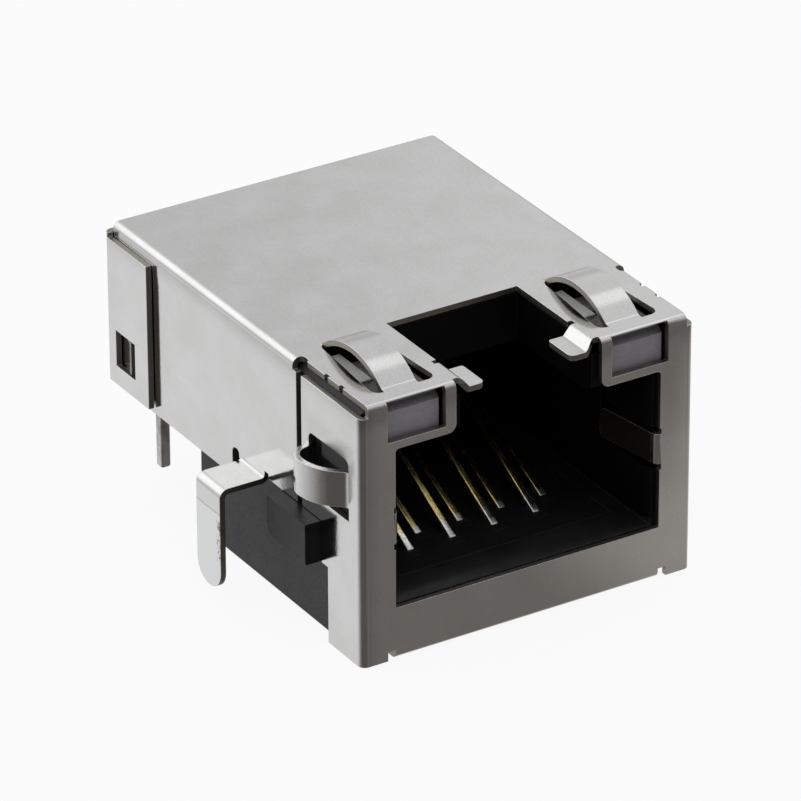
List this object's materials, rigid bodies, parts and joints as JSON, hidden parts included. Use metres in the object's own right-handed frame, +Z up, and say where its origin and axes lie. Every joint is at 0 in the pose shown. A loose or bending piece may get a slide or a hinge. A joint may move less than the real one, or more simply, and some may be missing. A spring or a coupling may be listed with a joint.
{
  "type": "modular jack",
  "caption": "Shielded modular jack for a circuit board: folded sheet shell with spring fingers, an open plug port with sprung contacts, indicators and board legs.",
  "frame": {"origin": "centre of the outline seen from above, at the height of the folded lip under the front face, the lowest point", "axes": "+Z up; -Y out of the front face where the plug enters; +X to the right seen from the front"},
  "size_m": [0.0204, 0.0202, 0.0128],
  "materials": {
    "plated_sheet": "satin nickel plate",
    "black_moulding": "matte moulded",
    "insert_moulding": "matte moulded",
    "plated_contact": "gold over nickel, polished",
    "lamp_resin": "cloudy clear resin",
    "tinned_lead": "tinned, dull"
  },
  "bodies": {
    "root": {"shield": "plated_sheet", "housing": "black_moulding", "contact_carrier": "insert_moulding", "contact_1": "plated_contact", "contact_2": "plated_contact", "contact_3": "plated_contact", "contact_4": "plated_contact", "contact_5": "plated_contact", "contact_6": "plated_contact", "contact_7": "plated_contact", "contact_8": "plated_contact", "lamp_right": "lamp_resin", "lamp_left": "lamp_resin", "lead_right_inner": "tinned_lead", "lead_left_inner": "tinned_lead", "lead_right_outer": "tinned_lead", "lead_left_outer": "tinned_lead"}
  },
  "joints": []
}
